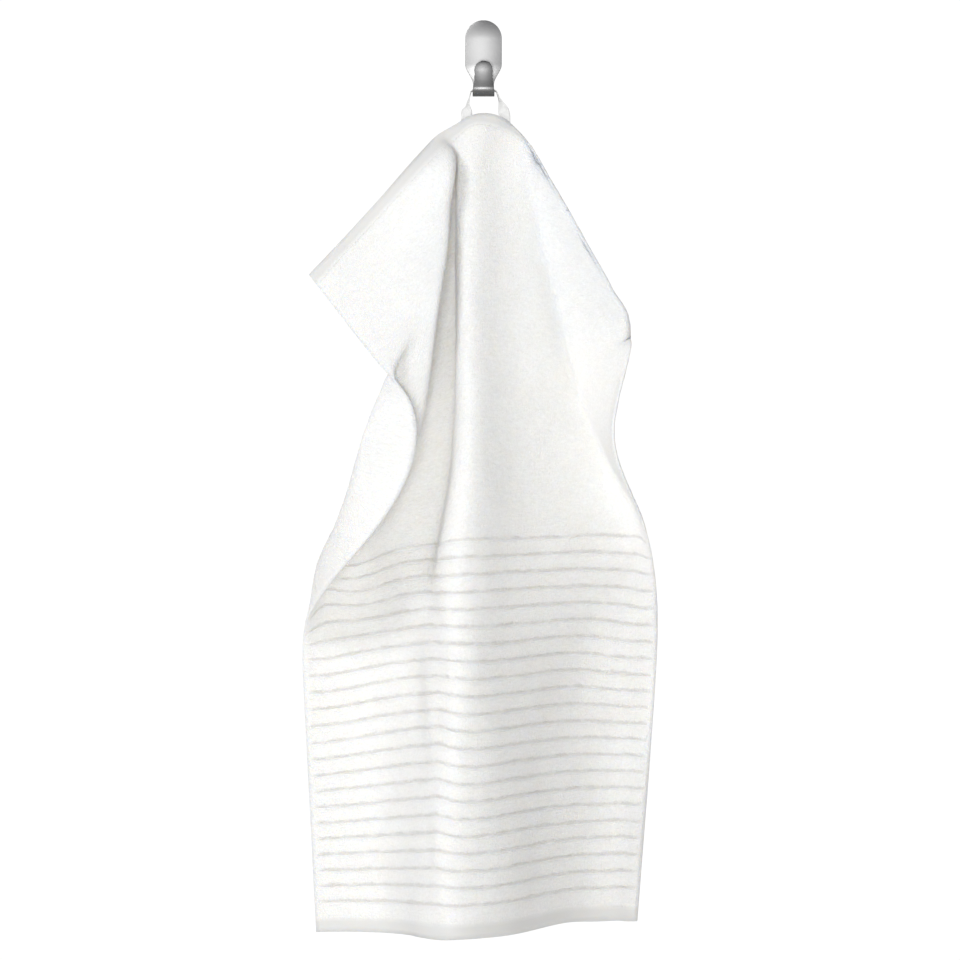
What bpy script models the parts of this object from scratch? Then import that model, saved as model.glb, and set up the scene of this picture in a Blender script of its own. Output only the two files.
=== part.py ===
"""Hand towel of white terry, hung by its sewn tape loop from a small hook of bent sheet steel.

The towel is seen from the front: +X is right, +Z is up and the wall is the plane Y = 0. Forward, away
from the wall, is -Y. The origin is on the back of the hook, where the wall holds it. Sizes are in
centimetres until the points are handed to Blender, which works in metres.
"""

import math

import bpy
import numpy as np

CM = 0.01

# The towel as it was cut and hemmed
TOWEL_WIDTH = 40.0
TOWEL_LENGTH = 70.0
PLAIN_THICKNESS = 0.26
HEM_THICKNESS = 0.24
HEM_DEPTH = 1.3

# The woven ribs of the lower half: a raised pile band and a thin flat band in each
RIB_COUNT = 22
RIB_PITCH = 1.443
RIB_START = 36.9
PILE_THICKNESS = 0.30
FLAT_THICKNESS = 0.18
FLAT_MIDDLE = 0.22
PILE_MIDDLE = 0.72

# How finely the solid follows the folds
PLAIN_ROWS = 19
COLUMNS_PER_FOLD = 3

# The folds, from the left edge to the right one. Each row is a place along one fold line:
# down (along the cloth from the top hem), across (on the cloth from its middle),
# then where that place hangs: right, forward and height.
FOLDS = {
    "left_selvedge": (
        (0.0, -20.0, -14.7, 3.8, -19.3),
        (6.0, -20.0, -11.2, 6.2, -23.8),
        (12.0, -20.0, -7.9, 9.9, -27.8),
        (16.0, -20.0, -6.1, 10.9, -29.9),
        (20.0, -20.0, -5.5, 11.3, -33.3),
        (25.0, -20.0, -7.2, 11.7, -38.2),
        (31.0, -20.0, -10.9, 9.6, -43.0),
        (38.0, -20.0, -14.2, 4.8, -47.2),
        (44.0, -20.0, -15.3, 1.8, -50.6),
        (50.0, -20.0, -15.2, 1.2, -56.3),
        (60.0, -20.0, -14.7, 1.2, -65.8),
        (70.0, -20.0, -14.2, 1.5, -74.9),
    ),
    "left_roll": (
        (0.0, -17.0, -12.6, 3.4, -17.0),
        (6.0, -17.0, -9.7, 5.8, -21.5),
        (12.0, -17.8, -6.85, 9.2, -26.1),
        (14.0, -18.4, -7.8, 9.6, -28.2),
        (16.0, -17.5, -8.4, 9.5, -29.3),
        (20.0, -16.5, -9.9, 9.6, -33.2),
        (25.0, -15.5, -10.7, 9.2, -36.0),
        (31.0, -15.8, -12.3, 7.2, -40.5),
        (38.0, -17.5, -14.0, 3.3, -44.8),
        (44.0, -18.0, -13.7, 1.2, -50.3),
        (50.0, -17.5, -13.0, 1.2, -56.1),
        (60.0, -17.0, -11.8, 1.6, -65.6),
        (70.0, -17.0, -11.3, 2.0, -74.8),
    ),
    "left_flap": (
        (0.0, -11.0, -8.4, 2.6, -12.4),
        (6.0, -12.5, -6.5, 5.6, -18.1),
        (12.0, -15.0, -5.3, 8.4, -23.9),
        (16.0, -15.2, -6.3, 8.5, -28.3),
        (20.0, -14.0, -7.5, 8.3, -33.1),
        (25.0, -12.8, -8.8, 7.0, -35.1),
        (31.0, -13.0, -11.0, 5.0, -39.6),
        (38.0, -14.0, -12.0, 1.8, -44.7),
        (44.0, -14.0, -10.7, 1.1, -49.8),
        (57.0, -13.5, -9.0, 2.0, -62.4),
        (70.0, -13.5, -8.2, 2.8, -74.8),
    ),
    "left_crest": (
        (0.0, -5.5, -4.6, 1.8, -8.0),
        (1.6, -4.2, -2.8, 2.6, -8.5),
        (4.0, -5.6, -2.8, 3.8, -11.4),
        (8.0, -8.7, -3.1, 5.7, -16.2),
        (12.0, -12.0, -3.8, 8.0, -21.6),
        (16.0, -12.9, -4.5, 8.3, -27.0),
        (20.0, -12.0, -5.4, 7.6, -32.2),
        (25.0, -10.3, -6.8, 5.2, -33.9),
        (31.0, -10.3, -8.9, 3.6, -38.6),
        (38.0, -10.8, -9.4, 2.4, -44.3),
        (44.0, -10.5, -7.8, 2.6, -49.3),
        (57.0, -10.0, -6.7, 4.8, -61.9),
        (70.0, -10.0, -6.3, 5.6, -74.6),
    ),
    "pleat": (
        (0.0, -3.9, -3.5, 1.5, -7.0),
        (1.6, -3.2, -2.6, 1.5, -8.2),
        (4.0, -3.9, -3.0, 1.5, -10.4),
        (8.0, -5.2, -3.7, 1.9, -14.7),
        (12.0, -6.8, -4.5, 2.3, -19.4),
        (16.0, -7.5, -4.9, 3.2, -24.0),
        (20.0, -7.5, -5.1, 4.3, -28.3),
        (25.0, -7.0, -5.3, 4.3, -31.7),
        (31.0, -7.0, -6.0, 4.2, -37.3),
        (38.0, -7.5, -6.3, 4.8, -43.3),
        (44.0, -7.0, -5.4, 5.6, -48.8),
        (57.0, -6.5, -4.9, 8.4, -61.4),
        (70.0, -6.5, -5.0, 9.0, -74.4),
    ),
    "pleat_floor": (
        (0.0, -3.35, -2.9, 1.35, -6.65),
        (1.6, -2.85, -2.35, 1.5, -7.95),
        (4.0, -3.3, -2.3, 1.5, -10.0),
        (8.0, -4.1, -2.0, 2.0, -14.1),
        (12.0, -4.8, -1.95, 2.4, -18.4),
        (16.0, -5.0, -1.95, 3.2, -22.6),
        (20.0, -4.9, -2.0, 4.1, -26.6),
        (25.0, -4.7, -2.3, 4.4, -31.0),
        (31.0, -4.8, -2.9, 4.7, -36.8),
        (38.0, -5.2, -4.0, 5.6, -43.1),
        (44.0, -5.5, -4.5, 7.2, -48.7),
        (57.0, -5.2, -4.35, 9.6, -61.25),
        (70.0, -5.2, -4.35, 10.1, -74.35),
    ),
    "ridge_flank": (
        (0.0, -2.8, -2.3, 1.2, -6.3),
        (1.6, -2.5, -2.1, 1.5, -7.7),
        (4.0, -2.7, -2.1, 2.0, -9.7),
        (8.0, -3.2, -2.2, 2.9, -13.8),
        (12.0, -3.4, -2.2, 3.7, -17.8),
        (16.0, -3.4, -2.2, 4.9, -21.9),
        (20.0, -3.4, -2.2, 5.7, -25.7),
        (25.0, -3.4, -2.3, 6.4, -30.5),
        (31.0, -3.4, -2.75, 7.1, -36.5),
        (38.0, -3.7, -3.6, 8.2, -43.0),
        (44.0, -4.0, -3.7, 8.9, -48.6),
        (57.0, -4.0, -3.8, 10.5, -61.1),
        (70.0, -4.0, -3.7, 11.0, -74.3),
    ),
    "ridge": (
        (0.0, -1.7, -1.4, 1.1, -5.75),
        (4.0, -1.7, -1.4, 2.5, -9.3),
        (8.0, -1.7, -1.4, 3.8, -13.4),
        (16.0, -1.7, -1.6, 6.3, -21.2),
        (25.0, -1.7, -1.7, 8.3, -30.0),
        (31.0, -1.7, -2.0, 9.3, -35.8),
        (38.0, -1.7, -2.4, 10.1, -42.8),
        (44.0, -1.7, -2.4, 10.6, -48.6),
        (57.0, -1.7, -2.4, 11.4, -61.4),
        (70.0, -1.7, -2.4, 11.8, -74.2),
    ),
    "panel_near": (
        (0.0, 1.7, 1.8, 1.1, -5.85),
        (4.0, 1.7, 1.4, 1.9, -9.4),
        (8.0, 1.8, 1.4, 2.9, -13.4),
        (16.0, 2.0, 1.5, 4.9, -21.1),
        (25.0, 3.0, 2.0, 6.3, -30.0),
        (38.0, 3.0, 1.6, 7.9, -42.6),
        (44.0, 3.0, 1.4, 8.5, -48.6),
        (57.0, 3.0, 1.4, 9.3, -61.4),
        (70.0, 3.0, 1.3, 9.6, -74.2),
    ),
    "panel_far": (
        (0.0, 2.6, 2.5, 1.1, -6.4),
        (4.0, 3.4, 2.8, 1.9, -9.6),
        (8.0, 4.6, 3.5, 2.2, -13.5),
        (16.0, 6.0, 4.8, 3.2, -21.4),
        (25.0, 7.5, 6.0, 3.7, -30.4),
        (38.0, 9.0, 6.6, 4.4, -42.5),
        (44.0, 8.5, 5.2, 5.2, -48.4),
        (57.0, 8.0, 4.6, 5.6, -61.2),
        (70.0, 8.0, 4.3, 6.0, -74.1),
    ),
    "right_valley": (
        (0.0, 3.3, 3.0, 1.3, -6.9),
        (2.0, 4.1, 3.4, 2.0, -8.3),
        (4.0, 4.9, 3.9, 2.3, -9.9),
        (8.0, 6.8, 5.0, 2.4, -13.9),
        (16.0, 9.3, 6.5, 2.5, -22.1),
        (20.0, 10.8, 7.3, 2.4, -25.6),
        (25.0, 12.5, 9.1, 2.2, -31.3),
        (31.0, 14.0, 10.8, 2.2, -35.6),
        (38.0, 15.0, 12.0, 1.9, -42.0),
        (44.0, 13.5, 9.2, 2.4, -48.1),
        (57.0, 13.0, 8.1, 2.5, -61.1),
        (70.0, 13.0, 7.4, 2.8, -73.9),
    ),
    "right_fold": (
        (0.0, 4.4, 3.5, 1.6, -7.6),
        (2.0, 5.5, 4.4, 2.8, -8.9),
        (4.0, 6.8, 5.4, 3.6, -10.8),
        (8.0, 10.3, 7.9, 5.7, -15.5),
        (12.0, 14.0, 10.2, 7.2, -19.8),
        (14.0, 15.8, 11.1, 7.5, -21.6),
        (16.0, 17.3, 12.0, 7.7, -23.5),
        (18.5, 17.0, 11.2, 7.2, -25.3),
        (22.0, 16.7, 10.3, 6.8, -28.4),
        (26.0, 17.0, 10.3, 6.4, -32.6),
        (31.0, 17.5, 11.4, 5.2, -36.1),
        (38.0, 18.0, 13.5, 2.2, -41.7),
        (44.0, 17.0, 12.1, 1.3, -47.9),
        (57.0, 17.0, 11.3, 1.2, -61.0),
        (70.0, 17.0, 10.4, 1.4, -74.0),
    ),
    "right_tuck": (
        (0.0, 6.6, 3.1, 0.8, -10.0),
        (4.0, 9.0, 5.1, 1.5, -12.8),
        (8.0, 12.2, 7.7, 3.4, -16.9),
        (12.0, 15.6, 10.0, 5.4, -20.9),
        (14.0, 17.1, 11.0, 6.2, -22.5),
        (16.0, 18.3, 12.0, 6.8, -24.1),
        (18.5, 18.2, 11.65, 7.45, -25.25),
        (22.0, 18.1, 11.0, 7.9, -28.3),
        (26.0, 18.2, 10.6, 7.7, -32.5),
        (31.0, 18.5, 11.6, 6.4, -36.4),
        (38.0, 18.8, 13.7, 2.5, -41.8),
        (44.0, 18.0, 13.1, 1.1, -47.9),
        (57.0, 18.0, 12.3, 1.0, -61.0),
        (70.0, 18.0, 11.4, 1.1, -74.0),
    ),
    "right_behind": (
        (0.0, 9.6, 2.9, 0.9, -13.0),
        (4.0, 11.8, 4.9, 1.2, -15.7),
        (8.0, 15.6, 7.5, 1.8, -20.6),
        (12.0, 17.6, 9.8, 4.0, -22.8),
        (14.0, 18.4, 10.8, 5.1, -23.7),
        (16.0, 19.2, 11.9, 6.1, -24.4),
        (18.5, 19.2, 12.0, 7.65, -25.25),
        (22.0, 19.1, 11.4, 8.6, -28.2),
        (26.0, 19.2, 10.7, 8.5, -32.4),
        (31.0, 19.3, 11.7, 6.9, -36.4),
        (38.0, 19.4, 13.8, 2.7, -41.8),
        (44.0, 19.0, 14.0, 1.0, -47.8),
        (57.0, 19.0, 13.2, 0.8, -61.1),
        (70.0, 19.0, 12.2, 0.8, -74.1),
    ),
    "right_selvedge": (
        (0.0, 20.0, 1.9, 0.8, -22.3),
        (4.0, 20.0, 5.2, 0.9, -24.6),
        (8.0, 20.0, 7.5, 1.3, -25.5),
        (12.0, 20.0, 9.8, 2.7, -24.9),
        (16.0, 20.0, 11.8, 5.6, -24.7),
        (18.5, 20.0, 12.3, 7.9, -25.2),
        (22.0, 20.0, 11.6, 9.1, -28.1),
        (26.0, 20.0, 10.8, 9.1, -32.3),
        (31.0, 20.0, 11.8, 7.4, -36.5),
        (38.0, 20.0, 14.0, 2.9, -41.8),
        (44.0, 20.0, 14.8, 1.0, -47.8),
        (50.0, 20.0, 14.6, 0.8, -54.2),
        (57.0, 20.0, 14.1, 0.7, -61.1),
        (70.0, 20.0, 13.1, 0.7, -74.1),
    ),
}

# The sewn loop: a flat tape, lying in the hook with its width from front to back, and turned flat
# against the back of the top hem at both ends. Columns: right, forward, height, turn in degrees.
TAPE_WIDTH = 0.96
TAPE_THICKNESS = 0.1
TAPE_STATIONS = 60
TAPE_ROUTE = (
    (-1.45, 0.84, -6.60, 90.0),
    (-1.45, 0.84, -5.95, 90.0),
    (-1.44, 0.84, -5.40, 89.0),
    (-1.38, 0.82, -4.85, 60.0),
    (-1.28, 0.78, -4.30, 22.0),
    (-1.17, 0.75, -3.85, 4.0),
    (-1.11, 0.75, -3.60, 0.0),
    (-1.02, 0.75, -3.46, 0.0),
    (-0.88, 0.75, -3.42, 0.0),
    (0.00, 0.75, -3.41, 0.0),
    (0.88, 0.75, -3.42, 0.0),
    (1.03, 0.75, -3.46, 0.0),
    (1.14, 0.75, -3.60, 0.0),
    (1.23, 0.75, -3.85, 4.0),
    (1.40, 0.78, -4.30, 22.0),
    (1.58, 0.82, -4.85, 60.0),
    (1.76, 0.84, -5.40, 89.0),
    (1.80, 0.84, -5.95, 90.0),
    (1.80, 0.84, -6.60, 90.0),
)

# The hook: one strip of sheet steel, bent forward and up at its foot
HOOK_SHEET = 0.15
HOOK_TOP = 2.65
HOOK_BEND_HEIGHT = -3.18
HOOK_BEND_RADIUS = 0.675
HOOK_TONGUE = 2.21
HOOK_FLARE = 0.12
HOOK_EDGE = 0.03
PLATE_HALF = 1.56
NECK_HALF = 0.89
CRADLE_HALF = 0.93
TONGUE_HALF = 0.77

# Colours as seen, with how rough and how metallic each surface is
TERRY = ("white_terry", (0.90, 0.89, 0.87), 0.95, 0.0)
TAPE = ("white_tape", (0.92, 0.92, 0.91), 0.80, 0.0)
STEEL = ("brushed_steel", (0.56, 0.56, 0.55), 0.38, 1.0)


def natural_spline(knots, values, at):
    """Read a smooth curve, which passes through values at the knots, at each place in at."""
    knots = np.asarray(knots, float)
    values = np.asarray(values, float)
    gaps = np.diff(knots)
    slopes = np.diff(values, axis=0) / gaps[:, None]
    matrix = np.eye(len(knots))
    right_side = np.zeros_like(values)
    for i in range(1, len(knots) - 1):
        matrix[i, i - 1:i + 2] = gaps[i - 1], 2 * (gaps[i - 1] + gaps[i]), gaps[i]
        right_side[i] = 6 * (slopes[i] - slopes[i - 1])
    bends = np.linalg.solve(matrix, right_side)
    at = np.asarray(at, float)
    i = np.clip(np.searchsorted(knots, at) - 1, 0, len(knots) - 2)
    gap = gaps[i][:, None]
    after = (at - knots[i])[:, None]
    before = (knots[i + 1] - at)[:, None]
    curve = (bends[i] * before ** 3 + bends[i + 1] * after ** 3) / (6 * gap)
    curve += (values[i] / gap - bends[i] * gap / 6) * before
    curve += (values[i + 1] / gap - bends[i + 1] * gap / 6) * after
    return curve


def towel_rows():
    """List how far down the cloth each row of the solid lies, and how thick the cloth is there."""
    rows = [(0.0, HEM_THICKNESS), (HEM_DEPTH, HEM_THICKNESS)]
    step = (RIB_START - HEM_DEPTH) / PLAIN_ROWS
    rows += [(HEM_DEPTH + step * i, PLAIN_THICKNESS) for i in range(1, PLAIN_ROWS)]
    rows.append((RIB_START - RIB_PITCH * (1 - PILE_MIDDLE), PILE_THICKNESS))
    for rib in range(RIB_COUNT):
        top = RIB_START + rib * RIB_PITCH
        rows.append((top + FLAT_MIDDLE * RIB_PITCH, FLAT_THICKNESS))
        rows.append((top + PILE_MIDDLE * RIB_PITCH, PILE_THICKNESS))
    rows.append((TOWEL_LENGTH - HEM_DEPTH, HEM_THICKNESS))
    rows.append((TOWEL_LENGTH, HEM_THICKNESS))
    return rows


def hanging_sheet(down):
    """Work out where the cloth hangs: an array of rows, columns and (right, forward, height)."""
    lines = []
    for rows in FOLDS.values():
        rows = np.array(rows)
        lines.append(natural_spline(rows[:, 0], rows[:, 1:], down))
    lines = np.stack(lines, axis=1)
    fold_places = np.arange(len(FOLDS))
    column_places = np.linspace(0, len(FOLDS) - 1, (len(FOLDS) - 1) * COLUMNS_PER_FOLD + 1)
    sheet = []
    for row in lines:
        across = np.interp(column_places, fold_places, row[:, 0])
        sheet.append(natural_spline(row[:, 0], row[:, 1:], across))
    return np.array(sheet)


def to_metres(points):
    """Turn (right, forward, height) in centimetres into Blender's x, y, z in metres."""
    points = np.asarray(points)
    return np.stack([points[..., 0], -points[..., 1], points[..., 2]], axis=-1) * CM


def thick_sheet(middle, thickness):
    """Give a sheet its thickness. Returns the points and faces of one closed body."""
    along = np.gradient(middle, axis=0)
    aside = np.gradient(middle, axis=1)
    normal = np.cross(aside, along)
    normal /= np.linalg.norm(normal, axis=2, keepdims=True)
    offset = normal * np.asarray(thickness)[:, None, None] / 2
    rows, columns = middle.shape[:2]
    points = np.concatenate([(middle + offset).reshape(-1, 3), (middle - offset).reshape(-1, 3)])
    back = rows * columns

    def place(row, column):
        return row * columns + column

    faces = []
    for row in range(rows - 1):
        for column in range(columns - 1):
            face = (place(row, column), place(row, column + 1),
                    place(row + 1, column + 1), place(row + 1, column))
            faces.append(face)
            faces.append(tuple(back + corner for corner in reversed(face)))
    rim = [place(0, column) for column in range(columns)]
    rim += [place(row, columns - 1) for row in range(1, rows)]
    rim += [place(rows - 1, column) for column in range(columns - 2, -1, -1)]
    rim += [place(row, 0) for row in range(rows - 2, 0, -1)]
    for here, there in zip(rim, rim[1:] + rim[:1]):
        faces.append((here, back + here, back + there, there))
    return points, faces


def lofted_body(rings):
    """Join rings of equally many points into one closed body with flat ends."""
    size = len(rings[0])
    points = [point for ring in rings for point in ring]
    faces = []
    for start in range(0, (len(rings) - 1) * size, size):
        for i in range(size):
            j = (i + 1) % size
            faces.append((start + i, start + j, start + size + j, start + size + i))
    faces.append(tuple(reversed(range(size))))
    faces.append(tuple(range(len(points) - size, len(points))))
    return np.array(points), faces


def make_object(name, points, faces, finish, smooth_below):
    """Add one closed body to the scene, with its faces outward and its own material."""
    mesh = bpy.data.meshes.new(name)
    mesh.from_pydata([tuple(point) for point in points], [], faces)
    if signed_volume(mesh) < 0:
        mesh.flip_normals()
    mesh.shade_smooth()
    mesh.set_sharp_from_angle(angle=math.radians(smooth_below))
    body = bpy.data.objects.new(name, mesh)
    body.data.materials.append(make_material(*finish))
    bpy.context.scene.collection.objects.link(body)
    return body


def signed_volume(mesh):
    """Measure a mesh's volume, which is negative where its faces point inward."""
    mesh.calc_loop_triangles()
    corners = np.array([[mesh.vertices[i].co for i in triangle.vertices] for triangle in mesh.loop_triangles])
    return np.einsum("ij,ij->i", corners[:, 0], np.cross(corners[:, 1], corners[:, 2])).sum() / 6


def make_material(name, colour, roughness, metallic):
    """Make a plain finish."""
    material = bpy.data.materials.new(name)
    material.use_nodes = True
    shader = material.node_tree.nodes["Principled BSDF"]
    shader.inputs["Base Color"].default_value = (*colour, 1.0)
    shader.inputs["Roughness"].default_value = roughness
    shader.inputs["Metallic"].default_value = metallic
    return material


def make_towel():
    """The towel: one hemmed length of terry in the folds in which it hangs."""
    rows = towel_rows()
    middle = to_metres(hanging_sheet([down for down, _ in rows]))
    points, faces = thick_sheet(middle, [thickness * CM for _, thickness in rows])
    return make_object("towel", points, faces, TERRY, 50)


def make_loop():
    """The hanging loop: a tape that runs up from the hem, through the hook and down again."""
    route = np.array(TAPE_ROUTE)
    steps = np.linalg.norm(np.diff(route[:, :3], axis=0), axis=1)
    places = np.concatenate([[0.0], np.cumsum(steps)])
    stations = natural_spline(places, route, np.linspace(0, places[-1], TAPE_STATIONS))
    centres = stations[:, :3]
    tangents = np.gradient(centres, axis=0)
    tangents /= np.linalg.norm(tangents, axis=1, keepdims=True)
    front = np.array([0.0, 1.0, 0.0])
    rings = []
    for centre, tangent, turn in zip(centres, tangents, np.radians(stations[:, 3])):
        level = front - tangent * tangent.dot(front)
        level /= np.linalg.norm(level)
        aside = np.cross(tangent, level)
        width = level * math.cos(turn) - aside * math.sin(turn) * np.sign(tangent[2] or 1.0)
        face = np.cross(tangent, width)
        half_width = width * TAPE_WIDTH / 2
        half_thickness = face * TAPE_THICKNESS / 2
        rings.append([centre + half_width + half_thickness, centre - half_width + half_thickness,
                      centre - half_width - half_thickness, centre + half_width - half_thickness])
    points, faces = lofted_body(rings)
    return make_object("hanging_loop", to_metres(points), faces, TAPE, 40)


def hook_half_width(along):
    """Half the hook's width at a distance along its strip from the top, without the round ends."""
    changes = ((3.75, 5.50, PLATE_HALF, NECK_HALF), (5.50, 6.80, NECK_HALF, CRADLE_HALF),
               (7.50, 8.60, CRADLE_HALF, TONGUE_HALF))
    half = PLATE_HALF
    for start, end, before, after in changes:
        if along > start:
            part = min(1.0, (along - start) / (end - start))
            half = before + (after - before) * part * part * (3 - 2 * part)
    return half


def hook_centre(along):
    """The strip's middle, as forward and height, and its outward normal, at a distance along it."""
    back = HOOK_SHEET / 2
    plate = HOOK_TOP - HOOK_BEND_HEIGHT
    bend = math.pi * HOOK_BEND_RADIUS
    if along <= plate:
        return back, HOOK_TOP - along, -1.0, 0.0
    if along <= plate + bend:
        angle = (along - plate) / HOOK_BEND_RADIUS
        forward = back + HOOK_BEND_RADIUS * (1 - math.cos(angle))
        height = HOOK_BEND_HEIGHT - HOOK_BEND_RADIUS * math.sin(angle)
        return forward, height, -math.cos(angle), -math.sin(angle)
    up = along - plate - bend
    lean = HOOK_FLARE * (up / HOOK_TONGUE) ** 3
    tilt = math.atan(3 * HOOK_FLARE * up ** 2 / HOOK_TONGUE ** 3)
    forward = back + 2 * HOOK_BEND_RADIUS + lean
    return forward, HOOK_BEND_HEIGHT + up, math.cos(tilt), -math.sin(tilt)


def make_hook():
    """The wall hook: a plate with a round top, a narrow neck, a J-shaped bend and a round tongue."""
    length = HOOK_TOP - HOOK_BEND_HEIGHT + math.pi * HOOK_BEND_RADIUS + HOOK_TONGUE
    end_angles = [math.radians(angle) for angle in (10, 20, 32, 45, 60, 75)]
    top = [(PLATE_HALF * (1 - math.cos(angle)), PLATE_HALF * math.sin(angle)) for angle in end_angles]
    tip = [(length - TONGUE_HALF * (1 - math.cos(angle)), TONGUE_HALF * math.sin(angle))
           for angle in reversed(end_angles)]
    middle = np.linspace(PLATE_HALF, length - TONGUE_HALF, 40)
    stations = top + [(along, hook_half_width(along)) for along in middle] + tip
    rings = []
    for along, half in stations:
        forward, height, out_forward, out_height = hook_centre(along)
        ring = []
        for side, level in ((1, 1), (-1, 1), (-1, -1), (1, -1)):
            corners = [(half - HOOK_EDGE, HOOK_SHEET / 2), (half, HOOK_SHEET / 2 - HOOK_EDGE)]
            if side * level < 0:
                corners.reverse()
            for x, out in corners[::-1]:
                ring.append((side * x, forward + level * out * out_forward, height + level * out * out_height))
        rings.append(ring)
    points, faces = lofted_body(rings)
    return make_object("wall_hook", to_metres(points), faces, STEEL, 35)


def clear_scene():
    """Empty the scene that the script starts in."""
    for thing in list(bpy.data.objects):
        bpy.data.objects.remove(thing, do_unlink=True)


clear_scene()
make_hook()
make_loop()
make_towel()
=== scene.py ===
"""Looks of a white terry hand towel that hangs by its tape loop from a small steel wall hook.

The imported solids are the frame. The towel, its loop and the hook are modelled finer on the same folds and
sizes, dressed, and lit as in the photograph. Cloth sizes are in centimetres. The frame's +Y points into the
wall, so a place that hangs forward of the wall has a negative y.
"""

import logging
import math
from dataclasses import dataclass, field
from enum import Enum
from typing import Any

import bpy
import numpy as np
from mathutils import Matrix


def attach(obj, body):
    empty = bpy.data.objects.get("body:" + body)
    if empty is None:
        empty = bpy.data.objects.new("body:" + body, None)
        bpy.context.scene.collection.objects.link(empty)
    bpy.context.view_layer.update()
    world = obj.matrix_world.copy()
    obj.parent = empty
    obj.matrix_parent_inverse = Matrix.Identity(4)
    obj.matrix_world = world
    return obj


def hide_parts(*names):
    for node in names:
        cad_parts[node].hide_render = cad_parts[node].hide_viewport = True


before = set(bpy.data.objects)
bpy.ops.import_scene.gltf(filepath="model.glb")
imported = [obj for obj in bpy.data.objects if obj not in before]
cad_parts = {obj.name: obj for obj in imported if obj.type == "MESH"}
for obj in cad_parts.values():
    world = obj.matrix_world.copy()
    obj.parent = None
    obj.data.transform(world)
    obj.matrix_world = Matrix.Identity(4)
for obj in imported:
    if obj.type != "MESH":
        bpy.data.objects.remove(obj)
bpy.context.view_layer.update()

LOG = logging.getLogger("hand_towel")
CM = 0.01
BODY = "root"

Array = np.ndarray
Colour = tuple[float, float, float]
Triple = tuple[float, float, float]
Span = tuple[float, float]
Faces = list[tuple[int, ...]]
Table = tuple[tuple[float, ...], ...]


class Slot(Enum):
    """The record's material slots."""

    TERRY = "terry"
    TAPE = "tape"
    STEEL = "steel"


class Side(Enum):
    """The two faces of the cloth, by the sign of their offset from its middle."""

    FRONT = 1
    BACK = -1


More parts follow.
